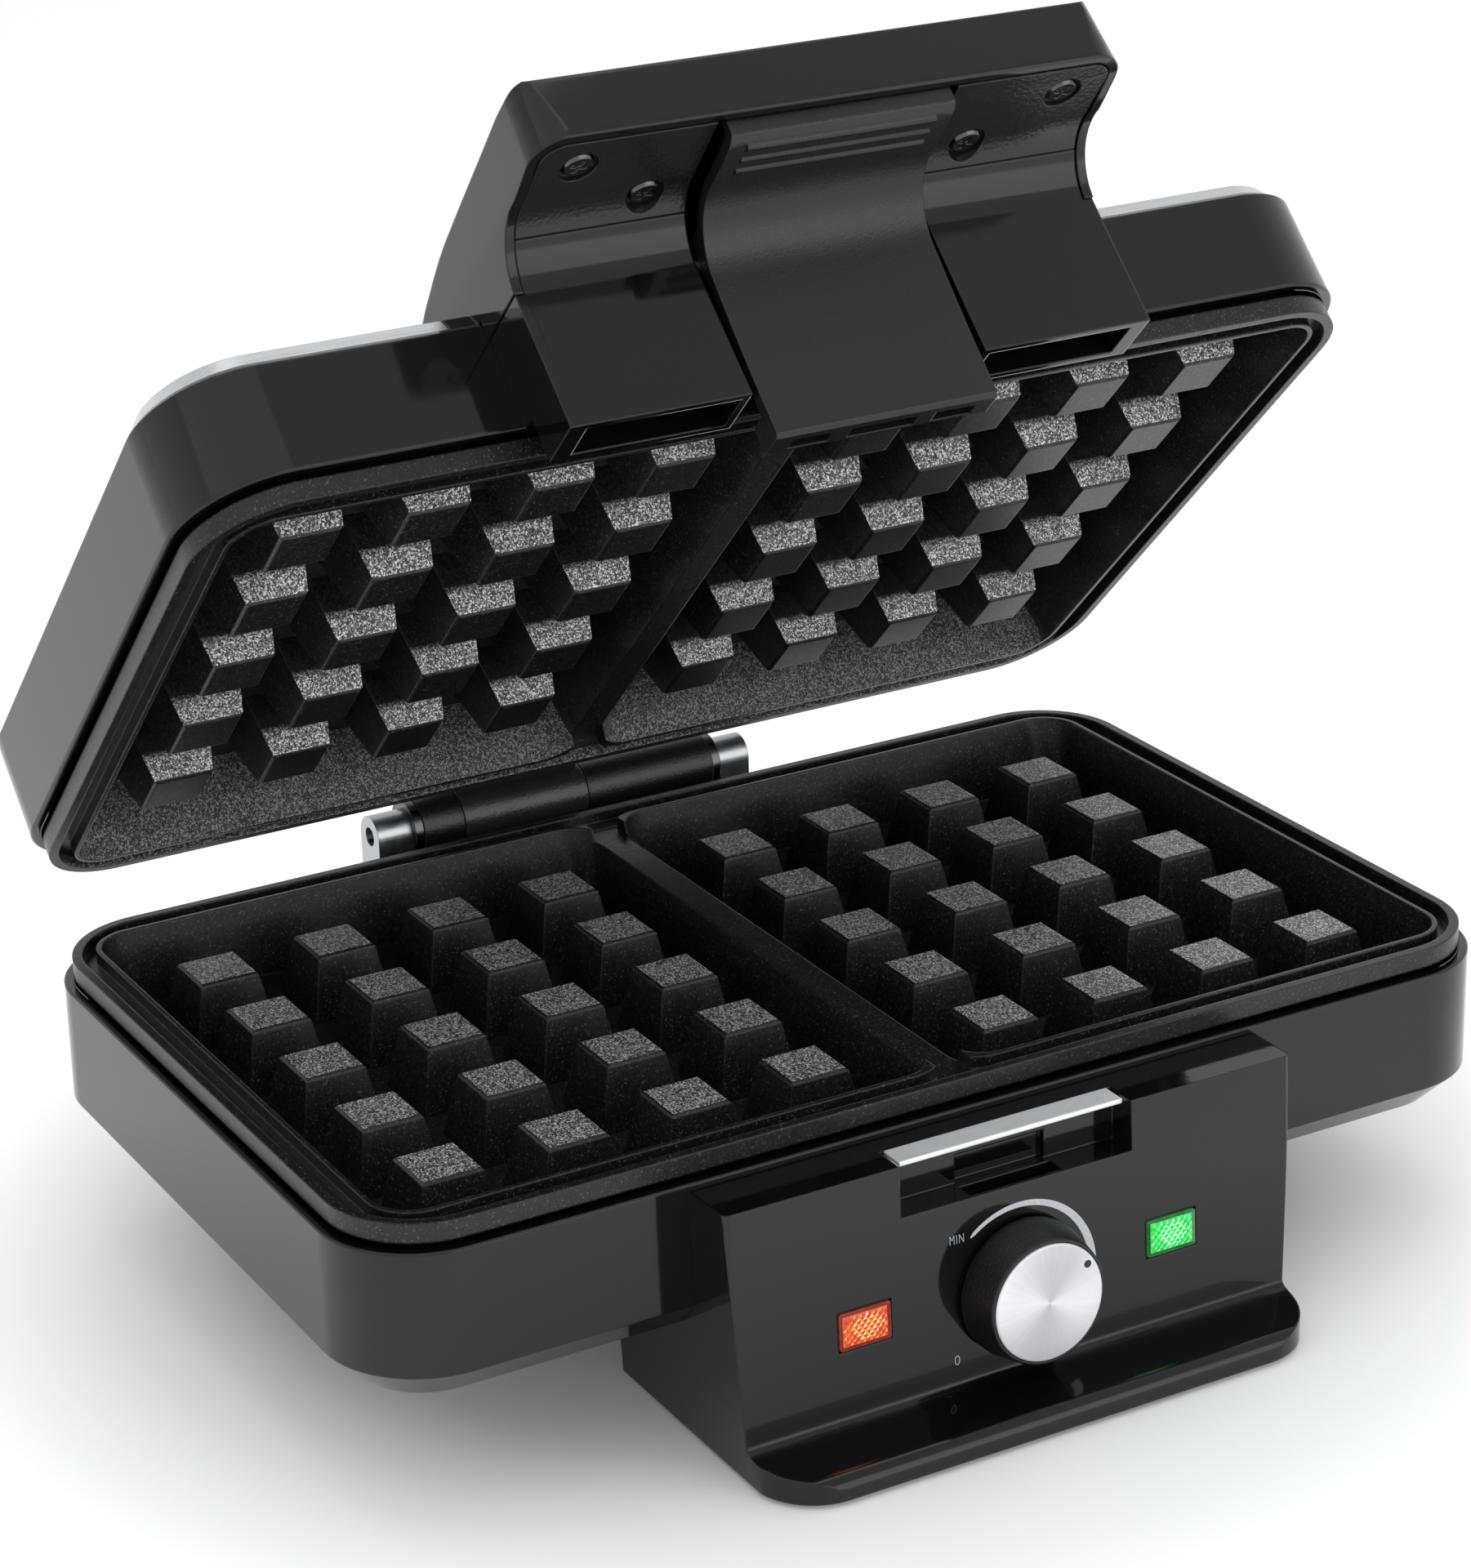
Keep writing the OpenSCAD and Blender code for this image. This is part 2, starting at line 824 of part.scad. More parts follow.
module hinge_pin() {
    color("#c7c9cb") {
        rod(pin_r, -bar_end - cap_t - end_t + 1, bar_end + cap_t + end_t - 1, hin_y, hin_z);
        for (sx = [-1, 1])
            rod(bar_r - 0.3, sx > 0 ? bar_end : -bar_end - cap_t,
                sx > 0 ? bar_end + cap_t : -bar_end, hin_y, hin_z);
    }
}

// ---------- knob ----------

module knob_body() {
    color("#171717")
        on_panel()
            translate([0, -knob_down, 0])
                rotate_extrude($fn = 96)
                    polygon([[0, 6.6], [shaft_r + 0.02, 6.6], [shaft_r + 0.02, 1.2], [6, 1.2],
                        [6, 5.6], [10.8, 5.6], [11.8, 0.7], [knob_r - 0.2, 0.7], [knob_r, 0.9],
                        [knob_r, 2.4], [knob_r - 1.3, 9], [disc_r + 0.4, 9.35],
                        [disc_r + fit, 9.4], [disc_r + fit, 8.5], [0, 8.5]]);
}

module knob_disc() {
    color("#e6e6e4")
        on_panel()
            translate([0, -knob_down, 0])
                difference() {
                    union() {
                        translate([0, 0, 8.5])
                            cylinder(r = disc_r, h = 0.95, $fn = 96);
                        translate([0, 0, 9.45])
                            cylinder(r1 = disc_r, r2 = disc_r - 0.2, h = 0.2, $fn = 96);
                    }
                    rotate([0, 0, 33.7])
                        translate([10.1, 0, 9.35])
                            cylinder(r = 0.7, h = 1, $fn = 24);
                }
}

module thermostat_shaft() {
    color("#a9abad")
        on_panel()
            translate([0, -knob_down, -11.5])
                cylinder(r = shaft_r, h = 18, $fn = 48);
}

// ---------- lid ----------

module lid_shell() {
    top_r = 1;
    difference() {
        union() {
            taper_slab(body_w, body_d, body_r, lid_bot, 0.4, 0.4, 0);
            slab(body_w, body_d, body_r, lid_bot + 0.4, lid_top - lid_bot - 0.4 - top_r);
            taper_slab(body_w, body_d, body_r, lid_top - top_r, top_r, 0, top_r);
            slab(body_w - 2 * crown_in, body_d - 2 * crown_in, body_r - crown_in, lid_top - 1, crown_h + 1);
        }
        slab(in_w, in_d, in_r, lid_bot - 1, lid_top - wall - lid_bot + 1);
        slab(body_w - 2 * crown_in - 2 * crown_t, body_d - 2 * crown_in - 2 * crown_t,
            body_r - crown_in - crown_t, lid_top - wall - 1, crown_h + wall + 1 - crown_t);
    }
}

module lid_casing() {
    color("#141414")
        swing()
            difference() {
                union() {
                    lid_shell();
                    at_bosses()
                        translate([0, 0, lid_refl])
                            cylinder(r = boss_r, h = lid_top + crown_h - lid_refl - 1, $fn = 32);
                }
                at_bosses()
                    translate([0, 0, lid_refl - 1])
                        cylinder(r = screw_r + 0.1, h = cut / 2, $fn = 24);
            }
}

// crown of the silver cover, outer or inner
module cover_bowl(i, dz) {
    taper_slab(body_w, body_d, body_r, lid_top - fit * dz, 3.2 - dz + fit * dz, 1.4 + i, 3.4 + i);
    taper_slab(body_w - 6.8 - 2 * i, body_d - 6.8 - 2 * i, body_r - 3.4 - i,
        lid_top + 3.2 - dz - fit, 1.6 + fit, 0, 6);
}

// the cover leaves room for the handle and its base
module lid_cover() {
    color("#c9cbcd")
        swing()
            difference() {
                cover_bowl(0, 0);
                translate([0, 0, -1])
                    slab(body_w - 6, body_d - 6, body_r - 3, lid_top, 1.02);
                cover_bowl(cov_t, cov_t);
                box(-flange_hw - 0.1, flange_hw + 0.1, -cut * 3, -42.5, lid_top - 1, cut * 3);
            }
}

module upper_grid_plate() {
    color("#2b2b2d")
        swing()
            translate([0, 0, rim_hi])
                mirror([0, 0, 1])
                    grid_plate(boss_hi);
}

module upper_pegs() {
    color("#2b2b2d")
        swing()
            translate([0, 0, rim_hi])
                mirror([0, 0, 1])
                    grid_pegs();
}

module upper_plate_screws() {
    color("#8c8f92")
        swing()
            at_bosses()
                translate([0, 0, lid_top + crown_h])
                    mirror([0, 0, 1])
                        plate_screw_flat(11);
}

module upper_heating_element() {
    color("#5a5a5c")
        swing()
            translate([0, 0, rim_hi + tub_low])
                mirror([0, 0, 1])
                    heating_loop();
}

module upper_reflector() {
    color("#b9bcc0")
        swing()
            translate([0, 0, lid_refl])
                mirror([0, 0, 1])
                    reflector_tray(5);
}

module lid_hinge_barrel() {
    color("#202020")
        swing()
            difference() {
                union() {
                    rod(bar_r, lid_k0 + side_gap, lid_k1 - side_gap, hin_y, hin_z);
                    side_cut(lid_k0 + side_gap, lid_k1 - side_gap,
                        [[back_y, lid_bot + 0.6], [hin_y - 5, hin_z + 4], [hin_y, hin_z],
                            [hin_y + 6, hin_z + 2.4], [hin_y + 1.5, 73], [84, 81], [back_y, 83]]);
                }
                rod(pin_r + fit, -cut, cut, hin_y, hin_z);
            }
}

module lid_rear_pads() {
    color("#0e0e0e")
        swing()
            for (sx = [-1, 1])
                side_cut(sx > 0 ? 50 : -64, sx > 0 ? 64 : -50,
                    [[back_y, 67], [back_y + 3.4, 67.8], [back_y + 4.2, 70],
                        [back_y + 4.2, 78], [back_y + 3.4, 80.2], [back_y, 81]]);
}

// ---------- handle ----------

// top line of the handle, front to back
han_line = [[han_y + han_lean + 0.9, han_top], [-100, 108.4], [-86, 107.2], [-75, 106.1],
    [-71, 105.4], [-67, 104.5], [-59, 102.4], [-54, 100.6], [-49.5, 98], [-46, 95.2], [-42.6, 92.4]];

// plan outline of the handle, round at the front corners, drawn in by i
module handle_plan(i) {
    h = han_top - han_low;
    w = 2 * (han_hw - i);
    d = -2 * (han_y + i);
    slab(w, d, han_r - i, 0, han_low + 0.02);
    taper_slab(w, d, han_r - i, han_low, h + 1, 0, han_flare);
}

// outside of the handle without its round corners
module handle_solid() {
    back = [for (i = [len(han_line) - 1:-1:0]) han_line[i]];
    side_cut(-han_hw, han_hw, concat(back, [[han_y + han_lean + 0.2, han_top - 0.5],
        [han_y + han_lean, han_top - 1.3], [han_y, han_low + 0.6], [han_y + 0.2, han_low + 0.2],
        [han_y + 0.7, han_low], [-117, han_low - 0.4], [-111, 95.4]],
        arc(sweep_y, sweep_z, sweep_r, 96, 4, 14),
        [[-93.9, rim_end], [front_y, rim_end], [front_y, lid_top], [-42.6, lid_top]]));
}

module handle_hollow() {
    intersection() {
        side_cut(-han_hw, han_hw, [[han_y - 5, 60], [han_y - 5, han_top - 2.7], [-100, 105.6],
            [-86, 104.4], [-75, 103.3], [-67, 101.7], [-59, 99.4], [-51, 95.6], [-48, 92.6],
            [-48, 60]]);
        handle_plan(han_wall);
    }
}

// screws of the handle: [x, y, z of the surface they sit in]
screw_spots = [[50.4, -113.5, 95.85], [33.8, -102.6, 94.7]];

module at_screws() {
    for (s = [-1, 1])
        for (p = screw_spots)
            translate([s * p[0], p[1], p[2]])
                children();
}

// screw bosses under the top of the handle
module handle_bosses() {
    intersection() {
        handle_solid();
        at_screws()
            translate([0, 0, 3])
                cylinder(r = 3.4, h = cut, $fn = 32);
    }
}

// black base round the foot of the handle, in line with the silver cover
module handle_base() {
    difference() {
        intersection() {
            cover_bowl(0, 0);
            box(-flange_hw, flange_hw, -cut * 2, -42.6, lid_top, cut * 3);
        }
        box(-han_hw + 1, han_hw - 1, front_y + wall, -46, lid_top - 1, cut * 3);
    }
}

module handle_shell() {
    color("#131313")
        swing()
            difference() {
                union() {
                    intersection() {
                        difference() {
                            handle_solid();
                            handle_hollow();
                        }
                        handle_plan(0);
                        front_cut(-cut * 4, 0)
                            translate([0, han_top - cut])
                                round_rect(2 * han_hw, 2 * cut, 2.6);
                    }
                    handle_bosses();
                    handle_base();
                }
                at_screws()
                    cylinder(r = 1.5 + fit, h = 11.2, $fn = 24);
                slab(body_w - 2 * crown_in + 0.1, body_d - 2 * crown_in + 0.1,
                    body_r - crown_in + fit, lid_top - 1, crown_h + 1 + fit);
            }
}

// textured panel that closes the underside of the handle on one side
module underplate(s) {
    x0 = 24.9;
    r = sweep_r + plate_drop;
    in = han_wall + 0.3;
    color("#1f1f1f")
        swing()
            difference() {
                intersection() {
                    side_cut(s > 0 ? x0 : -han_hw, s > 0 ? han_hw : -x0,
                        concat([[han_y - 1, 96.6], [-117, 96.2]], arc(sweep_y, sweep_z, r, 93, 51, 7),
                            [[-94.4, 92.5], [-95, 93.4]], arc(sweep_y, sweep_z, r + plate_t, 51, 93, 5),
                            [[-117, 98.4], [han_y - 1, 98.8]]));
                    handle_plan(in);
                }
                at_screws() {
                    cylinder(r = 1.6, h = 6, $fn = 24);
                    translate([0, 0, -4])
                        cylinder(r = 3.75, h = 4.9, $fn = 32);
                }
            }
}

module handle_underplate_left() {
    underplate(-1);
}

module handle_underplate_right() {
    underplate(1);
}

// gloss skirt in front of the lid on one side, with an open slot below
module front_skirt(s) {
    x0 = 24.6;
    xr = han_hw - han_wall - 0.2;
    r = sweep_r + plate_drop;
    y_low = -94.1;
    y_back = -81.9;
    step_z = lid_bot - 0.3;
    y_in = y_low + skirt_t;
    color("#141414")
        swing()
            difference() {
                union() {
                    side_cut(s > 0 ? x0 : -xr, s > 0 ? xr : -x0,
                        concat([[y_low, skirt_bot], [-93.65, 80]], arc(sweep_y, sweep_z, r, 4, 50.4, 9),
                            [[front_y, 92.35], [front_y, step_z], [y_back, step_z],
                                [y_back, skirt_bot]]));
                    side_cut(s > 0 ? xr - 0.1 : -skirt_hw, s > 0 ? skirt_hw : 0.1 - xr,
                        [[y_low, skirt_bot], [-93.7, 80], [-93.7, rim_end - 0.1],
                            [front_y, rim_end - 0.1], [front_y, step_z], [y_back, step_z],
                            [y_back, skirt_bot]]);
                }
                side_cut(s > 0 ? x0 + skirt_t : 1.8 - xr, s > 0 ? xr - 1.8 : -x0 - skirt_t,
                    concat([[y_in, skirt_bot - 5], [-92.1, 80]],
                        arc(sweep_y, sweep_z, r + skirt_t, 4, 38, 5),
                        [[front_y + 3, 90.3], [front_y + 3, step_z + 2], [y_back - skirt_t, step_z + 2],
                            [y_back - skirt_t, skirt_bot - 5]]));
                rod(pin2_r + fit, -cut, cut, piv_y, piv_z);
            }
}

module front_skirt_left() {
    front_skirt(-1);
}

module front_skirt_right() {
    front_skirt(1);
}

// cross-head screw pointing up, head from z = 0.1 to 0.9
module handle_screw() {
    translate([0, 0, 0.8])
        cylinder(r = 1.5, h = 10, $fn = 24);
    difference() {
        translate([0, 0, 0.1])
            cylinder(r1 = 2.7, r2 = 3.2, h = 0.8, $fn = 32);
        for (a = [20, 110])
            rotate([0, 0, a])
                translate([-1.8, -0.4, -1])
                    cube([3.6, 0.8, 1.6]);
    }
}

module handle_screws() {
    color("#2a2b2d")
        swing()
            at_screws()
                handle_screw();
}

module lever_pin() {
    color("#b9bbbd")
        swing()
            rod(pin2_r, -notch_hw - 1.4, notch_hw + 1.4, piv_y, piv_z);
}

// torsion spring on the pin: coils and two short legs
module lever_spring() {
    color("#a5a7aa")
        swing() {
            for (i = [0:5])
                translate([-2.5 + i, piv_y, piv_z])
                    rotate([0, 90, 0])
                        rotate_extrude($fn = 32)
                            translate([2.3, 0])
                                circle(r = 0.52, $fn = 16);
            translate([2.5, piv_y + 2.3, piv_z - 9])
                cylinder(r = 0.5, h = 9, $fn = 16);
            translate([-2.5, piv_y, piv_z + 2.3])
                rotate([90, 0, 0])
                    cylinder(r = 0.5, h = 4.5, $fn = 16);
        }
}

module latch_lever() {
    hook = concat([[-120.3, 94.3], [-119.9, 93.6], [-118.5, 92.9], [-116.5, 92.5]],
        arc(grip_y, grip_z, grip_r, 93, 0, 16),
        [[-94.3, 70], [-94, 60], [-94, 48], [-93.2, 47.2], [-87.9, 47.2], [-87.3, 47.8],
            [-87.3, 52.4], [-88, 53], [-91.4, 53], [-91.5, 60], [-91.9, 70]],
        arc(grip_y, grip_z, grip_r + grip_t, 0, 93, 10),
        [[-117.6, 95], [-118.6, 96], [-118.6, 98.6], [-118.9, 99], [-120, 99], [-120.3, 98.7]]);
    ear = concat(arc(grip_y, grip_z, grip_r + grip_t / 2, 50, -6, 6),
        [[piv_y, piv_z - 3.3], [piv_y, piv_z + 3.3]]);
    color("#232323")
        swing()
            difference() {
                union() {
                    difference() {
                        side_cut(-lever_hw, lever_hw, hook);
                        for (x = [[-19.3, -10.9], [-7, 7], [10.9, 19.3]])
                            box(x[0], x[1], -91.6, -88.6, 40, 51.4);
                    }
                    for (p = [[-117.1, 92.4], [-113.5, 92.3], [-110.3, 92]])
                        side_cut(-19.6, 19.6, arc(p[0], p[1] + 0.5, 0.95, 180, 360, 8));
                    for (sx = [-1, 1])
                        for (x = [lever_hw - 3, 9]) {
                            x0 = sx > 0 ? x : -x - 3;
                            side_cut(x0, x0 + 3, ear);
                            rod(3.4, x0, x0 + 3, piv_y, piv_z);
                        }
                }
                rod(pin2_r + fit, -cut, cut, piv_y, piv_z);
            }
}

base_casing();
control_housing();
stand_plates();
rear_stand();
rubber_feet();
stand_screws();
lower_grid_plate();
lower_pegs();
lower_plate_screws();
lower_heating_element();
lower_reflector();
thermostat_body();
thermal_fuse();
terminal_block();
lamp_lens_orange();
lamp_lens_green();
lamp_holders();
lamp_bulbs();
latch_keeper();
cord_inlet_gland();
hinge_posts();
hinge_end_plates();
hinge_pin();
knob_body();
knob_disc();
thermostat_shaft();
lid_casing();
lid_cover();
upper_grid_plate();
upper_pegs();
upper_plate_screws();
upper_heating_element();
upper_reflector();
lid_hinge_barrel();
lid_rear_pads();
handle_shell();
handle_underplate_left();
handle_underplate_right();
front_skirt_left();
front_skirt_right();
handle_screws();
lever_pin();
lever_spring();
latch_lever();
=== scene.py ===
import json
import math

import bmesh
import bpy
from mathutils import Matrix, Vector


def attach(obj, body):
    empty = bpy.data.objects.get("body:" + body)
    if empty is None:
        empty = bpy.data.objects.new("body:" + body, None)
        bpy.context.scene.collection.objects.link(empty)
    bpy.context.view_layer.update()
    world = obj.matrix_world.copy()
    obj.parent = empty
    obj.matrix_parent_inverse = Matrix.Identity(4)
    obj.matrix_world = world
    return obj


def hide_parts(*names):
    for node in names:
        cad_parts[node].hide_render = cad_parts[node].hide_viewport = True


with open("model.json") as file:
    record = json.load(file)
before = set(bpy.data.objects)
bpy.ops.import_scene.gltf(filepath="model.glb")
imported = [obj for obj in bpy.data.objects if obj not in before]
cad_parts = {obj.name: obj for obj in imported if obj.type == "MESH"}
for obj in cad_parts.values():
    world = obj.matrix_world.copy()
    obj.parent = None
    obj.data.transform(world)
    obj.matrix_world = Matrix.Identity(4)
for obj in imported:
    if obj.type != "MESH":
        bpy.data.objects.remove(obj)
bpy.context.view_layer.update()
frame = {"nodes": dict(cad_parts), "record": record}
NODES = frame["nodes"]
BODY_OF = {node: body for body, nodes in frame["record"]["behaviour"]["bodies"].items() for node in nodes}
SLOT_OF = {part["node"]: part["material_slot"] for part in frame["record"]["subparts"]}
MM = 0.001


# ---------------------------------------------------------------- camera

AZIMUTH, ELEVATION, ROLL = math.radians(-29.188), math.radians(21.931), math.radians(-1.391)
FOCAL_MM, SENSOR_MM = 97.05, 36
EYE = Vector((-0.38059, -0.67059, 0.4027))


def make_camera():
    right = Vector((math.cos(AZIMUTH), math.sin(AZIMUTH), 0))
    back = Vector((math.sin(AZIMUTH) * math.cos(ELEVATION), -math.cos(AZIMUTH) * math.cos(ELEVATION),
                   math.sin(ELEVATION)))
    up = back.cross(right)
    rolled_right = math.cos(ROLL) * right + math.sin(ROLL) * up
    rolled_up = -math.sin(ROLL) * right + math.cos(ROLL) * up
    data = bpy.data.cameras.new("camera")
    data.lens = FOCAL_MM
    data.sensor_width = SENSOR_MM
    data.sensor_fit = "AUTO"
    data.clip_start = 0.01
    data.clip_end = 50
    cam = bpy.data.objects.new("camera", data)
    turn = Matrix((rolled_right, rolled_up, back)).transposed().to_4x4()
    cam.matrix_world = Matrix.Translation(EYE) @ turn
    bpy.context.scene.collection.objects.link(cam)
    bpy.context.scene.camera = cam


make_camera()


# ---------------------------------------------------------------- shader helper

def grey(v):
    return (v, v, v * 1.02)


class Tree:
    """Builds one material's shader tree, in the object's own coordinates."""

    def __init__(self, name):
        self.mat = bpy.data.materials.new(name)
        self.mat.use_nodes = True
        self.tree = self.mat.node_tree
        self.bsdf = self.tree.nodes["Principled BSDF"]
        self.coord = self.add("ShaderNodeTexCoord").outputs["Object"]

    def add(self, kind, **props):
        node = self.tree.nodes.new(kind)
        for key, value in props.items():
            setattr(node, key, value)
        return node

    def link(self, a, b):
        self.tree.links.new(a, b)

    def noise(self, scale, detail=3, rough=0.6, coord=None):
        node = self.add("ShaderNodeTexNoise")
        node.inputs["Scale"].default_value = scale
        node.inputs["Detail"].default_value = detail
        node.inputs["Roughness"].default_value = rough
        self.link(coord or self.coord, node.inputs["Vector"])
        return node.outputs["Fac"]

    def voronoi(self, scale, out="Distance"):
        node = self.add("ShaderNodeTexVoronoi")
        node.inputs["Scale"].default_value = scale
        self.link(self.coord, node.inputs["Vector"])
        return node.outputs[out]

    def ramp(self, fac, stops):
        """Colours at the given places along fac."""
        node = self.add("ShaderNodeValToRGB")
        elements = node.color_ramp.elements
        while len(elements) < len(stops):
            elements.new(0.5)
        for element, (position, colour) in zip(elements, stops):
            element.position = position
            element.color = (*colour, 1)
        self.link(fac, node.inputs["Fac"])
        return node.outputs["Color"]

    def span(self, fac, low, high, from_low=0.3, from_high=0.7):
        """Maps fac from its own range to low..high, and clamps it there."""
        node = self.add("ShaderNodeMapRange")
        node.inputs["From Min"].default_value = from_low
        node.inputs["From Max"].default_value = from_high
        node.inputs["To Min"].default_value = low
        node.inputs["To Max"].default_value = high
        self.link(fac, node.inputs["Value"])
        return node.outputs["Result"]

    def math(self, operation, *values):
        node = self.add("ShaderNodeMath", operation=operation)
        for socket, value in zip(node.inputs, values):
            if isinstance(value, (int, float)):
                socket.default_value = value
            else:
                self.link(value, socket)
        return node.outputs[0]

    def weighted(self, *pairs):
        """Sum of (output, weight) pairs."""
        terms = [self.math("MULTIPLY", out, weight) for out, weight in pairs]
        total = terms[0]
        for term in terms[1:]:
            total = self.math("ADD", total, term)
        return total

    def axes(self, vector):
        node = self.add("ShaderNodeSeparateXYZ")
        self.link(vector, node.inputs[0])
        return node.outputs["X"], node.outputs["Y"]

    def vector(self, *parts):
        node = self.add("ShaderNodeCombineXYZ")
        for part, socket in zip(parts, node.inputs):
            self.link(part, socket)
        return node.outputs[0]

    def radius(self, x, y):
        return self.math("SQRT", self.math("ADD", self.math("MULTIPLY", x, x), self.math("MULTIPLY", y, y)))

    def edge(self, radius):
        """Rolls sharp edges over in the shading, so that they catch the light."""
        node = self.add("ShaderNodeBevel", samples=6)
        node.inputs["Radius"].default_value = radius
        return node.outputs["Normal"]

    def bump(self, height, strength, distance=0.1 * MM, edge=0.4 * MM):
        node = self.add("ShaderNodeBump")
        node.inputs["Strength"].default_value = strength
        node.inputs["Distance"].default_value = distance
        self.link(height, node.inputs["Height"])
        self.link(self.edge(edge), node.inputs["Normal"])
        self.link(node.outputs["Normal"], self.bsdf.inputs["Normal"])

    def set(self, **sockets):
        """Sets or links the shader's sockets; an underscore stands for a space in their names."""
        for key, value in sockets.items():
            socket = self.bsdf.inputs[key.replace("_", " ")]
            if hasattr(value, "is_output"):
                self.link(value, socket)
            else:
                socket.default_value = value


# ---------------------------------------------------------------- materials

def mat_gloss_black():
    """Polished black plastic of the casings, the console and the skirts."""
    t = Tree("gloss_black")
    t.set(Base_Color=t.ramp(t.noise(9, 4), [(0.3, grey(0.003)), (0.7, grey(0.0045))]), IOR=1.47)
    t.set(Roughness=t.span(t.noise(35, 5, 0.65), 0.05, 0.1))
    t.bump(t.noise(420, 2, 0.5), 0.02, 0.2 * MM, 0.6 * MM)
    return t.mat


def mat_matte_black(name="matte_black", base=0.007, rough=0.3, grain=1500, depth=0.1 * MM, bump=0.5):
    """Spark-eroded black plastic with a fine grain."""
    t = Tree(name)
    grit = t.noise(grain, 3, 0.7)
    t.set(Base_Color=t.ramp(t.noise(30, 4), [(0.3, grey(base * 0.8)), (0.7, grey(base * 1.25))]), IOR=1.5)
    t.set(Roughness=t.span(grit, rough - 0.05, rough + 0.08))
    t.bump(t.weighted((grit, 1.0), (t.voronoi(grain * 1.4), 0.5)), bump, depth)
    return t.mat


def mat_coating():
    """Smooth walls of the non-stick plates, with a little fine dust-like texture."""
    t = Tree("nonstick_coating")
    soft = t.noise(1300, 4, 0.7)
    dust = t.voronoi(3200, "Color")
    t.set(Base_Color=t.ramp(dust, [(0.45, grey(0.006)), (0.8, grey(0.016)), (0.97, grey(0.09))]))
    t.set(Roughness=t.span(soft, 0.26, 0.4), IOR=1.45)
    t.bump(soft, 0.25, edge=0.6 * MM)
    return t.mat


def mat_flake_highlight(name, out, fade, gain):
    """The same coating with a painted highlight: its flakes are painted light grey up to white, as where
    light falls straight on it.

    The painted highlight fades in between the two heights in fade, measured along out, and below them the
    colour stays black, a painted shadow for the shade deep between the pegs.
    """
    t = Tree(name)
    soft = t.noise(2400, 3, 0.7)
    flakes = t.weighted((t.voronoi(3700, "Color"), 0.95), (soft, 0.15))
    # Painted highlight: the flakes' colours run up to white, as they look where light falls on them.
    bright = t.ramp(flakes, [(0.25, grey(0.04)), (0.5, grey(0.13)), (0.68, grey(0.42)), (0.84, grey(1.0))])
    height = t.add("ShaderNodeVectorMath", operation="DOT_PRODUCT")
    t.link(t.coord, height.inputs[0])
    height.inputs[1].default_value = out
    mix = t.add("ShaderNodeMix", data_type="RGBA", blend_type="MIX")
    factor, dark, light = mix.inputs[0], mix.inputs[6], mix.inputs[7]
    # Painted shadow: black deep along out, mixed into the painted highlight towards the tips.
    t.link(t.span(height.outputs["Value"], 0.02, gain, *fade), factor)
    dark.default_value = (0, 0, 0, 1)
    t.link(bright, light)
    t.set(Base_Color=mix.outputs[2], Roughness=t.span(soft, 0.3, 0.46), IOR=1.45)
    t.bump(soft, 0.35, edge=0.7 * MM)
    return t.mat


def mat_metal(name, colour, rough=(0.2, 0.35), scale=200, metal=1.0, stretch=None):
    """Metal with cloudy wear, or brushed where stretch draws the noise out."""
    t = Tree(name)
    coord = t.coord
    if stretch:
        mapping = t.add("ShaderNodeMapping")
        mapping.inputs["Scale"].default_value = stretch
        t.link(t.coord, mapping.inputs["Vector"])
        coord = mapping.outputs["Vector"]
    wear = t.noise(scale, 4, 0.65, coord)
    t.set(Base_Color=t.ramp(wear, [(0.3, tuple(c * 0.82 for c in colour)), (0.7, colour)]))
    t.set(Roughness=t.span(wear, *rough), Metallic=metal)
    t.bump(wear, 0.1)
    return t.mat


def mat_rubber():
    t = Tree("rubber")
    grain = t.noise(800, 4, 0.7)
    t.set(Base_Color=t.ramp(grain, [(0.3, grey(0.008)), (0.7, grey(0.016))]))
    t.set(Roughness=t.span(grain, 0.6, 0.8))
    t.bump(grain, 0.3)
    return t.mat


def mat_ceramic():
    t = Tree("ceramic")
    grain = t.noise(300, 4)
    colour = (0.72, 0.68, 0.6)
    t.set(Base_Color=t.ramp(grain, [(0.3, tuple(c * 0.85 for c in colour)), (0.7, colour)]))
    t.set(Roughness=t.span(grain, 0.45, 0.58))
    t.bump(grain, 0.15)
    return t.mat


def mat_glow(name, low, high, strength, rough=0.08):
    """Tinted lens plastic that the lamp behind it lights up."""
    t = Tree(name)
    cloud = t.noise(900)
    t.set(Base_Color=t.ramp(cloud, [(0.3, low), (0.7, high)]), Roughness=t.span(cloud, rough, rough + 0.06))
    t.set(Emission_Color=t.ramp(cloud, [(0.35, low), (0.65, high)]), Emission_Strength=strength)
    return t.mat


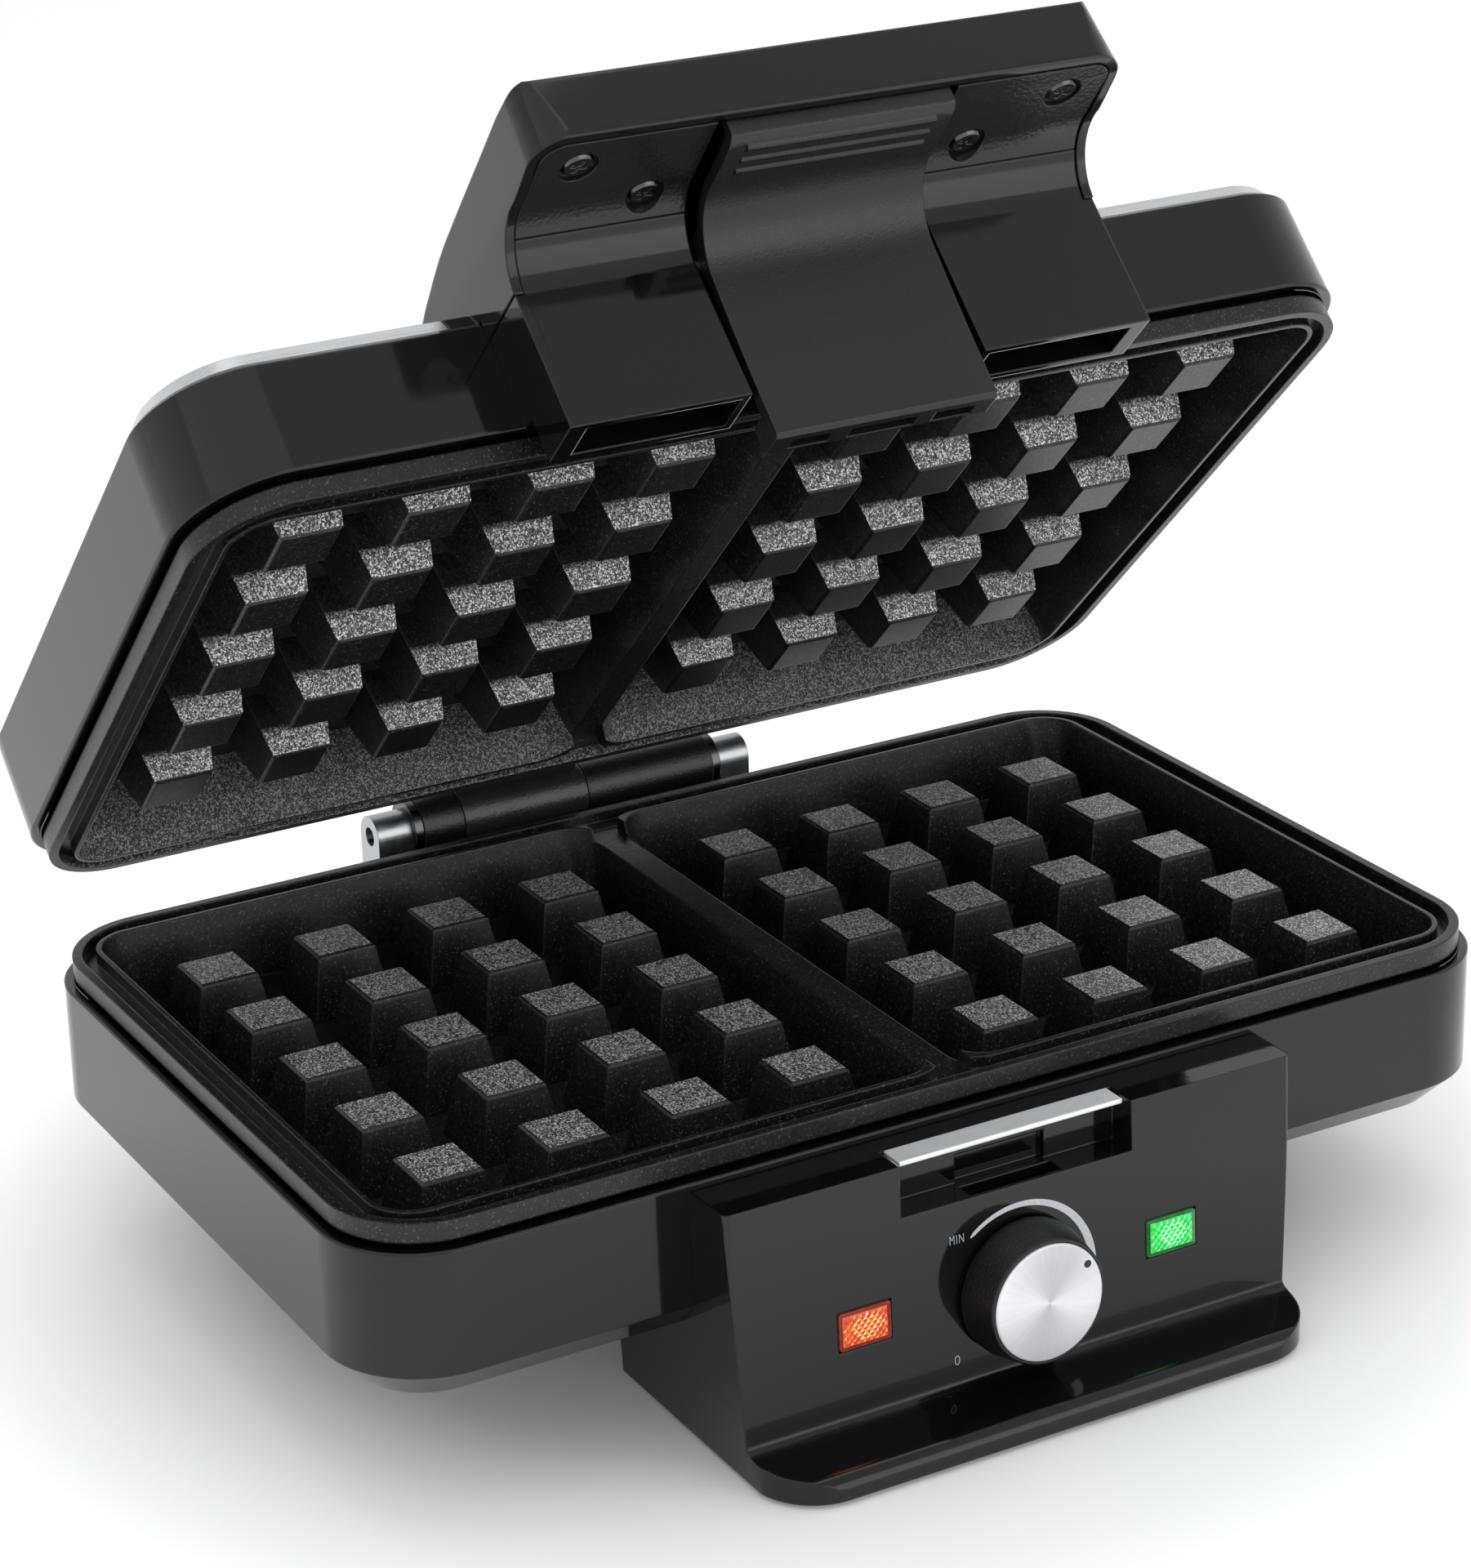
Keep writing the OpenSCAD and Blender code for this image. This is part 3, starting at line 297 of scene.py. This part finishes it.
def mat_spun():
    """Turned aluminium: fine rings about the local Z axis, and painted sheen, sectors of painted highlight
    that meet at the centre.
    """
    t = Tree("spun_aluminium")
    x, y = t.axes(t.coord)
    rings = t.noise(9000, 3, 0.7, t.vector(t.radius(x, y)))
    # Painted highlight: brightness that turns with the angle about the axis, the sheen of the turned face;
    # the ring tone is the metal's own.
    turn = t.math("ARCTAN2", y, x)
    painted_sheen = t.math("SINE", t.math("ADD", t.math("MULTIPLY", turn, 2.0), 2.2))
    painted_streaks = t.noise(9, 6, 0.75, t.vector(t.math("SINE", turn), t.math("COSINE", turn)))
    rings_and_sheen = t.weighted((painted_sheen, 0.22), (painted_streaks, 0.35), (rings, 0.25))
    t.set(Base_Color=t.ramp(rings_and_sheen, [(0.05, grey(0.55)), (0.35, grey(0.68)), (0.6, grey(0.84))]))
    t.set(Roughness=t.span(rings, 0.27, 0.36), Metallic=1.0, Anisotropic=0.85)
    tangent = t.add("ShaderNodeTangent", direction_type="RADIAL", axis="Z")
    t.link(tangent.outputs[0], t.bsdf.inputs["Tangent"])
    t.bump(rings, 0.08, 0.04 * MM)
    return t.mat


def mat_print():
    """Pale printed marks on the panel."""
    t = Tree("print_grey")
    ink = t.noise(1500)
    t.set(Base_Color=t.ramp(ink, [(0.3, (0.5, 0.53, 0.58)), (0.7, (0.62, 0.66, 0.71))]))
    t.set(Roughness=t.span(ink, 0.35, 0.45))
    return t.mat


def mat_glass():
    t = Tree("bulb_glass")
    cloud = t.noise(200, 3, 0.5)
    t.set(Base_Color=t.ramp(cloud, [(0.3, (0.9, 0.85, 0.78)), (0.7, (0.99, 0.935, 0.858))]))
    t.set(Roughness=t.span(cloud, 0.02, 0.05), Transmission_Weight=0.9)
    return t.mat


MATS = {
    "gloss_black": mat_gloss_black(),
    "matte_black": mat_matte_black(),
    "rubber": mat_rubber(),
    "nonstick": mat_coating(),
    "silver_cover": mat_metal("silver_cover", (0.72, 0.73, 0.74), (0.22, 0.32), 60, stretch=(1, 40, 40)),
    "bright_steel": mat_metal("bright_steel", (0.78, 0.79, 0.8), (0.12, 0.2), 90),
    "zinc_steel": mat_metal("zinc_steel", (0.5, 0.51, 0.53), (0.25, 0.4), 400),
    "element_steel": mat_metal("element_steel", (0.16, 0.16, 0.17), (0.4, 0.6), 300, 0.8),
    "reflector": mat_metal("reflector", (0.75, 0.76, 0.77), (0.15, 0.3), 50),
    "spun_aluminium": mat_spun(),
    "lamp_orange": mat_glow("lamp_orange", (0.34, 0.03, 0.01), (0.5, 0.07, 0.018), 0.7),
    "lamp_green": mat_glow("lamp_green", (0.01, 0.32, 0.05), (0.03, 0.6, 0.1), 0.6),
    "bulb_glass": mat_glass(),
    "brass": mat_metal("brass", (0.62, 0.48, 0.24), (0.25, 0.4), 200),
    "ceramic": mat_ceramic(),
}
PRINT = mat_print()
BARREL = mat_matte_black("barrel_black", 0.022, 0.22, 1300)
TEXTURED = mat_matte_black("textured_black", 0.009, 0.21, 900, 0.2 * MM, 0.4)
KNOB_SKIN = mat_matte_black("knob_black", 0.0035, 0.36, 1700, 0.12 * MM, 0.6)
DARK_STEEL = mat_metal("blackened_steel", (0.12, 0.12, 0.125), (0.14, 0.26), 500)
BRUSHED = mat_metal("brushed_steel", (0.94, 0.95, 0.97), (0.34, 0.5), 300, 0.45, stretch=(1, 30, 30))


# ---------------------------------------------------------------- pieces

def repaint(obj, mat):
    obj.data.materials.clear()
    obj.data.materials.append(mat)


def mesh_from(name, bm, smooth=False):
    """Turns a bmesh into a mesh and frees it."""
    mesh = bpy.data.meshes.new(name)
    bm.to_mesh(mesh)
    bm.free()
    mesh.polygons.foreach_set("use_smooth", [smooth] * len(mesh.polygons))
    return mesh


def add_object(name, mesh, *mats):
    obj = bpy.data.objects.new(name, mesh)
    bpy.context.scene.collection.objects.link(obj)
    for mat in mats:
        mesh.materials.append(mat)
    return obj


def add_piece(name, mesh, body, *mats, slot=None, stands_for=None):
    """A visible piece that rides on a CAD body, and may stand for a CAD node."""
    obj = add_object(name, mesh, *mats)
    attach(obj, body)
    if stands_for:
        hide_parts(stands_for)
    return obj


for node, obj in NODES.items():
    repaint(obj, MATS[SLOT_OF[node]])
for node in ("handle_screws", "hinge_pin"):
    repaint(NODES[node], DARK_STEEL)


# ---------------------------------------------------------------- smooth copies of CAD nodes

WELD = 2e-6
CAD_NORMALS = ("custom_normal", "sharp_edge", "sharp_face")
SHARP = math.radians(30)
FLAT = math.radians(0.3)
LID_OPEN = math.radians(44.8)
UP = Vector((0, 0, 1))
LID_OUT = Vector((0, -math.sin(LID_OPEN), -math.cos(LID_OPEN)))
LID_FRONT = Vector((0, -math.cos(LID_OPEN), math.sin(LID_OPEN)))


def smoothed(node, mat=None, bevel=0.0):
    """A copy of a CAD node with its sweeps shaded smooth, which stands for the node.

    With a bevel, in millimetres, its sharp edges are really rounded.
    """
    bm = bmesh.new()
    bm.from_mesh(NODES[node].data)
    bmesh.ops.remove_doubles(bm, verts=bm.verts, dist=WELD)
    if bevel:
        bmesh.ops.dissolve_limit(bm, angle_limit=FLAT, verts=bm.verts, edges=bm.edges)
    name = node + "_fine"
    mesh = mesh_from(name, bm, smooth=True)
    for attribute in CAD_NORMALS:
        if attribute in mesh.attributes:
            mesh.attributes.remove(mesh.attributes[attribute])
    mesh.set_sharp_from_angle(angle=SHARP)
    slot = SLOT_OF[node]
    obj = add_piece(name, mesh, BODY_OF[node], mat or MATS[slot], slot=slot, stands_for=node)
    if bevel:
        edges = obj.modifiers.new("edges", "BEVEL")
        edges.width = bevel * MM
        edges.segments = 3
        edges.limit_method = "ANGLE"
        edges.angle_limit = SHARP
    obj.modifiers.new("shade", "WEIGHTED_NORMAL").keep_sharp = True
    return obj


def add_flake_highlight(node, facing, within, out, gain=1.0, shadow=(0, 0.01), rear_only=False):
    """A smooth copy of a plate or its pegs, whose faces that look along facing, towards the light, get the
    flaked coating with its painted highlight.

    shadow says where the painted highlight fades in out of painted shadow, as shares of the node's height
    along out.
    With rear_only the faces in front of the node's middle stay smooth.
    """
    mesh = smoothed(node).data
    heights = [v.co.dot(out) for v in mesh.vertices]
    deep, tip = min(heights), max(heights)
    fade = [deep + (tip - deep) * share for share in shadow]
    mesh.materials.append(mat_flake_highlight(node + "_flake_highlight", out, fade, gain))
    middle = sum(v.co.dot(facing) for v in mesh.vertices) / len(mesh.vertices)
    for face in mesh.polygons:
        behind = not rear_only or face.center.dot(facing) < middle
        face.material_index = 1 if behind and face.normal.dot(facing) > within else 0


for node in ("base_casing", "lid_casing", "lid_cover", "rear_stand", "control_housing", "latch_lever",
             "front_skirt_left", "front_skirt_right", "hinge_posts", "handle_shell", "lower_grid_plate"):
    smoothed(node)
# Painted highlight on the faces that look towards the light; painted shadow deep between the upper pegs.
add_flake_highlight("upper_grid_plate", LID_FRONT, 0.5, LID_OUT, gain=0.3, rear_only=True)
add_flake_highlight("lower_pegs", UP, 0.95, UP, gain=0.6)
add_flake_highlight("upper_pegs", LID_FRONT, 0.8, LID_OUT, shadow=(0.52, 0.66))
for node in ("handle_underplate_left", "handle_underplate_right"):
    smoothed(node, TEXTURED)
smoothed("latch_keeper", BRUSHED, bevel=0.2)
smoothed("knob_body", KNOB_SKIN, bevel=0.15)
smoothed("lid_hinge_barrel", BARREL)


# ---------------------------------------------------------------- frame of the panel, in millimetres

PANEL_Y, PANEL_TOP, LEAN = -91.43, 54.3, math.radians(2.84)
KNOB_V = -30.4
LAMP_U, LAMP_V = 33.7, -29.3
PRINT_LOW, PRINT_HIGH = -0.02, 0.04
ACROSS = Vector((1, 0, 0))
UPWARD = Vector((0, math.sin(LEAN), math.cos(LEAN)))
OUTWARD = Vector((0, -math.cos(LEAN), math.sin(LEAN)))
PANEL_TURN = Matrix((ACROSS, UPWARD, OUTWARD)).transposed().to_4x4()


def on_panel(u, v, w):
    """Point u across, v up and w out of the panel, from the middle of its top edge."""
    return (Vector((0, PANEL_Y, PANEL_TOP)) + u * ACROSS + v * UPWARD + w * OUTWARD) * MM


def about_knob(r, degrees):
    """Across and up the panel, at a radius and an angle about the knob's axis."""
    return r * math.cos(math.radians(degrees)), KNOB_V + r * math.sin(math.radians(degrees))


# ---------------------------------------------------------------- printed marks

ARC_START, ARC_SWEEP, ARC_STEPS = 131, 166, 90
ARC_OUTER, ARC_INNER, ARC_GROWTH = 16.7, 16.0, 1.3
ARC_CAP = 0.25


def heat_arc():
    """Printed band that widens from the lowest to the highest setting, with rounded ends."""
    bm = bmesh.new()
    rings = []
    for i in range(ARC_STEPS + 1):
        along = i / ARC_STEPS
        degrees = ARC_START - along * ARC_SWEEP
        cap = ARC_CAP * (max(0.0, 1 - i / 2) + max(0.0, 1 - (ARC_STEPS - i) / 2))
        inner = ARC_INNER - ARC_GROWTH * along ** 0.9 + cap
        outer = ARC_OUTER - cap
        corners = ((inner, PRINT_LOW), (inner, PRINT_HIGH), (outer, PRINT_HIGH), (outer, PRINT_LOW))
        rings.append([bm.verts.new(on_panel(*about_knob(r, degrees), w)) for r, w in corners])
    for a, b in zip(rings, rings[1:]):
        for k in range(4):
            bm.faces.new((a[k], a[(k + 1) % 4], b[(k + 1) % 4], b[k]))
    bm.faces.new(rings[0])
    bm.faces.new(rings[-1][::-1])
    bmesh.ops.recalc_face_normals(bm, faces=bm.faces)
    return mesh_from("heat_arc", bm)


def lettering(name, text, height, width, u, v):
    """Thin printed letters on the panel, centred at u, v."""
    curve = bpy.data.curves.new(name, "FONT")
    curve.body = text
    curve.size = 1.0
    curve.extrude = 0.02
    curve.offset = -0.022
    curve.space_character = 1.2
    temp = bpy.data.objects.new(name, curve)
    bpy.context.scene.collection.objects.link(temp)
    mesh = bpy.data.meshes.new_from_object(temp.evaluated_get(bpy.context.evaluated_depsgraph_get()))
    bpy.data.objects.remove(temp)
    low = [min(p.co[k] for p in mesh.vertices) for k in range(2)]
    high = [max(p.co[k] for p in mesh.vertices) for k in range(2)]
    for p in mesh.vertices:
        x, y = [(p.co[k] - low[k]) / (high[k] - low[k]) - 0.5 for k in range(2)]
        p.co = on_panel(u + x * width, v + y * height, PRINT_HIGH if p.co[2] > 0 else PRINT_LOW)
    return mesh


add_piece("heat_arc", heat_arc(), "base", PRINT)
add_piece("label_min", lettering("label_min", "MIN", 1.75, 3.0, *about_knob(18.8, 136.7)), "base", PRINT)
add_piece("label_zero", lettering("label_zero", "0", 1.9, 1.1, *about_knob(18.4, 218.6)), "base", PRINT)


# ---------------------------------------------------------------- knob face

FACE_R, FACE_W = 11.7, 9.65
FACE_ROWS = [(0, 0), (0.8, 0), (4, 0), (8, 0), (FACE_R - 0.45, 0), (FACE_R - 0.28, -0.03),
             (FACE_R - 0.1, -0.16), (FACE_R, -0.34), (FACE_R, -1.1), (0, -1.1)]
DOT_R, DOT_AT, DOT_ANGLE = 0.78, 10.1, 33.7
DOT_ROWS = [(0, 0.02), (0.5, 0.0), (0.66, 0.03), (0.74, 0.05), (DOT_R, 0.0), (DOT_R, -0.3), (0, -0.3)]


def turned(name, rows, steps):
    """Turned shape about local Z from rows of (radius, height) in millimetres."""
    bm = bmesh.new()
    rings = []
    for r, z in rows:
        count = steps if r else 1
        angles = [2 * math.pi * i / steps for i in range(count)]
        rings.append([bm.verts.new((r * MM * math.cos(a), r * MM * math.sin(a), z * MM)) for a in angles])
    for a, b in zip(rings, rings[1:]):
        for i in range(steps):
            j = (i + 1) % steps
            if len(a) == 1:
                bm.faces.new((a[0], b[i], b[j]))
            elif len(b) == 1:
                bm.faces.new((a[i], b[0], a[j]))
            else:
                bm.faces.new((a[i], b[i], b[j], a[j]))
    bmesh.ops.recalc_face_normals(bm, faces=bm.faces)
    mesh = mesh_from(name, bm, smooth=True)
    mesh.set_sharp_from_angle(angle=math.radians(35))
    return mesh


def add_knob_piece(name, rows, steps, place, mat, stands_for=None):
    """A turned piece on the knob, whose local Z is the knob's axis."""
    obj = add_object(name, turned(name, rows, steps), mat)
    obj.matrix_world = Matrix.Translation(on_panel(*place)) @ PANEL_TURN
    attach(obj, "knob")
    if stands_for:
        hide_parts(stands_for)


add_knob_piece("knob_face", FACE_ROWS, 128, (0, KNOB_V, FACE_W), MATS["spun_aluminium"],
               stands_for="knob_disc")
add_knob_piece("knob_dot", DOT_ROWS, 40, (*about_knob(DOT_AT, DOT_ANGLE), FACE_W + 0.01), KNOB_SKIN)


# ---------------------------------------------------------------- lamp lenses, in millimetres

LENS_W, LENS_H = 10.9, 7.5
LENS_BACK, LENS_LIP, LENS_FACE = -2.5, 0.15, 0.7
LENS_BORDER, CORNER_STEPS = 0.72, 4
FIELD_U, FIELD_V = -0.4, 0.35
FIELD_W, FIELD_H = LENS_W - 2 * LENS_BORDER - 0.06, LENS_H - 2 * LENS_BORDER - 0.06
PRISMS_X, PRISMS_Y, PRISM_RISE, PRISM_SUNK = 14, 8, 0.3, 0.05
CORE, WARM, BODY, RIM = range(4)


def lens_ring(bm, middle_u, inset, z, corner, du=0.0, dv=0.0):
    """Loop of a rectangle with round corners, moved by du and dv."""
    loop = []
    for sx, sy, start in ((1, 1, 0), (-1, 1, 90), (-1, -1, 180), (1, -1, 270)):
        for k in range(CORNER_STEPS):
            a = math.radians(start + 30 * k)
            x = sx * (LENS_W / 2 - inset - corner) + corner * math.cos(a)
            y = sy * (LENS_H / 2 - inset - corner) + corner * math.sin(a)
            loop.append(bm.verts.new(on_panel(middle_u + x + du, LAMP_V + y + dv, z)))
    return loop


def lens_block(bm, middle_u):
    """Clear block with a bevelled border, wider on the right and below."""
    rings = [lens_ring(bm, middle_u, 0, LENS_BACK, 0.5),
             lens_ring(bm, middle_u, 0, LENS_LIP, 0.5),
             lens_ring(bm, middle_u, 0.12, LENS_LIP + 0.1, 0.45),
             lens_ring(bm, middle_u, LENS_BORDER, LENS_FACE, 0.1, FIELD_U, FIELD_V)]
    count = 4 * CORNER_STEPS
    for a, b in zip(rings, rings[1:]):
        for k in range(count):
            bm.faces.new((a[k], a[(k + 1) % count], b[(k + 1) % count], b[k])).material_index = RIM
    bm.faces.new(rings[0][::-1]).material_index = RIM
    bm.faces.new(rings[-1]).material_index = BODY


def prism_tone(i, j, first_half):
    """Lights the upper left side of each prism, and near the lamp its upper right side too."""
    x, y = (i + 0.5) / PRISMS_X - 0.54, (j + 0.5) / PRISMS_Y - 0.52
    distance = (x / 0.36) ** 2 + (y / 0.45) ** 2
    upper_left = first_half and (i + j) % 2 == 0
    upper_right = first_half and (i + j) % 2 == 1
    if upper_left and distance < 1.0:
        return CORE
    if (upper_left and distance < 2.2) or (upper_right and distance < 0.7):
        return WARM
    return BODY


def lens_prisms(bm, middle_u):
    """Field of small four-sided prisms, turned by 45 degrees, as a closed sheet sunk into the block."""
    grid = {}
    for i in range(PRISMS_X + 1):
        for j in range(PRISMS_Y + 1):
            rim = i in (0, PRISMS_X) or j in (0, PRISMS_Y)
            z = LENS_FACE - PRISM_SUNK if rim else LENS_FACE + (0 if (i + j) % 2 else PRISM_RISE)
            u = middle_u + FIELD_U + FIELD_W * (i / PRISMS_X - 0.5)
            v = LAMP_V + FIELD_V + FIELD_H * (j / PRISMS_Y - 0.5)
            grid[i, j] = bm.verts.new(on_panel(u, v, z))
    border = ([grid[i, 0] for i in range(PRISMS_X)] + [grid[PRISMS_X, j] for j in range(PRISMS_Y)]
              + [grid[i, PRISMS_Y] for i in range(PRISMS_X, 0, -1)]
              + [grid[0, j] for j in range(PRISMS_Y, 0, -1)])
    bm.faces.new(border[::-1]).material_index = BODY
    for i in range(PRISMS_X):
        for j in range(PRISMS_Y):
            a, b, c, d = grid[i, j], grid[i + 1, j], grid[i + 1, j + 1], grid[i, j + 1]
            halves = ((a, b, c), (a, c, d)) if (i + j) % 2 == 0 else ((a, b, d), (b, c, d))
            for k, half in enumerate(halves):
                bm.faces.new(half).material_index = prism_tone(i, j, k == 0)


def add_lens(name, node, side, *mats):
    """Lit lens that stands for a CAD lens, with its core, warm, body and rim materials."""
    bm = bmesh.new()
    lens_block(bm, side * LAMP_U)
    lens_prisms(bm, side * LAMP_U)
    mesh = bpy.data.meshes.new(name)
    bm.to_mesh(mesh)
    bm.free()
    add_piece(name, mesh, "base", *mats, slot=SLOT_OF[node], stands_for=node)


add_lens("lens_orange", "lamp_lens_orange", -1,
         mat_glow("orange_core", (1.0, 0.7, 0.25), (1.0, 0.95, 0.6), 1.1),
         mat_glow("orange_warm", (0.85, 0.2, 0.03), (1.0, 0.38, 0.08), 0.8),
         MATS["lamp_orange"],
         mat_glow("orange_rim", (0.16, 0.018, 0.014), (0.22, 0.035, 0.025), 0.4, 0.04))
add_lens("lens_green", "lamp_lens_green", 1,
         mat_glow("green_core", (0.6, 1.0, 0.65), (0.9, 1.0, 0.92), 1.0),
         mat_glow("green_warm", (0.12, 0.8, 0.22), (0.35, 0.95, 0.45), 0.8),
         MATS["lamp_green"],
         mat_glow("green_rim", (0.015, 0.1, 0.025), (0.04, 0.17, 0.05), 0.4, 0.04))


# ---------------------------------------------------------------- floor, world and lights

FLOOR_SIZE, FLOOR_DROP = 14, 0.0002
# distance from the middle of the floor in metres, and its added brightness there
FLOOR_GLOW = [(0.1, grey(0.05)), (0.19, grey(0.46)), (0.4, grey(0.3)), (0.8, grey(0.25))]
SKY_LOW, SKY_HIGH = (1, 1, 1, 1), (0.62, 0.62, 0.63, 1)
# name, place, width, height, watts, all aimed at the target height above the origin
LIGHTS = [("key", (-0.7, -0.4, 1.8), 2.2, 2.2, 5, 0.1),
          ("top", (0.3, 0.5, 1.9), 1.4, 1.4, 5, 0.1),
          ("front", (0.85, -1.75, 0.62), 1.8, 1.3, 8, 0.2)]


def make_floor():
    """Pale floor with painted light: its emission is weak under the object, strongest in a ring about 0.19 m
    out and softer farther away.
    """
    t = Tree("floor")
    place = t.add("ShaderNodeNewGeometry").outputs["Position"]
    t.set(Base_Color=t.ramp(t.noise(3, 2, 0.5), [(0.3, (0.83, 0.83, 0.835)), (0.7, (0.86, 0.86, 0.865))]))
    t.set(Roughness=0.6, Emission_Color=(1, 1, 1, 1))
    t.set(Emission_Strength=t.ramp(t.radius(*t.axes(place)), FLOOR_GLOW))
    bm = bmesh.new()
    bmesh.ops.create_grid(bm, x_segments=1, y_segments=1, size=FLOOR_SIZE / 2)
    floor = add_object("floor", mesh_from("floor", bm), t.mat)
    floor.location = (0, 0, -FLOOR_DROP)


def make_world():
    """White near the horizon and a little darker overhead."""
    world = bpy.data.worlds.new("world")
    bpy.context.scene.world = world
    world.use_nodes = True
    tree = world.node_tree
    coord = tree.nodes.new("ShaderNodeTexCoord")
    split = tree.nodes.new("ShaderNodeSeparateXYZ")
    ramp = tree.nodes.new("ShaderNodeValToRGB")
    tree.links.new(coord.outputs["Generated"], split.inputs[0])
    tree.links.new(split.outputs["Z"], ramp.inputs["Fac"])
    tree.links.new(ramp.outputs["Color"], tree.nodes["Background"].inputs["Color"])
    low, high = ramp.color_ramp.elements
    low.position, low.color = 0.0, SKY_LOW
    high.position, high.color = 0.95, SKY_HIGH


def make_lights():
    for name, place, width, height, watts, target_z in LIGHTS:
        data = bpy.data.lights.new(name, "AREA")
        data.energy = watts
        data.shape = "RECTANGLE"
        data.size = width
        data.size_y = height
        light = bpy.data.objects.new(name, data)
        bpy.context.scene.collection.objects.link(light)
        light.location = place
        light.rotation_euler = (Vector((0, 0, target_z)) - Vector(place)).to_track_quat("-Z", "Y").to_euler()


make_floor()
make_world()
make_lights()
bpy.context.scene.view_settings.view_transform = "Standard"
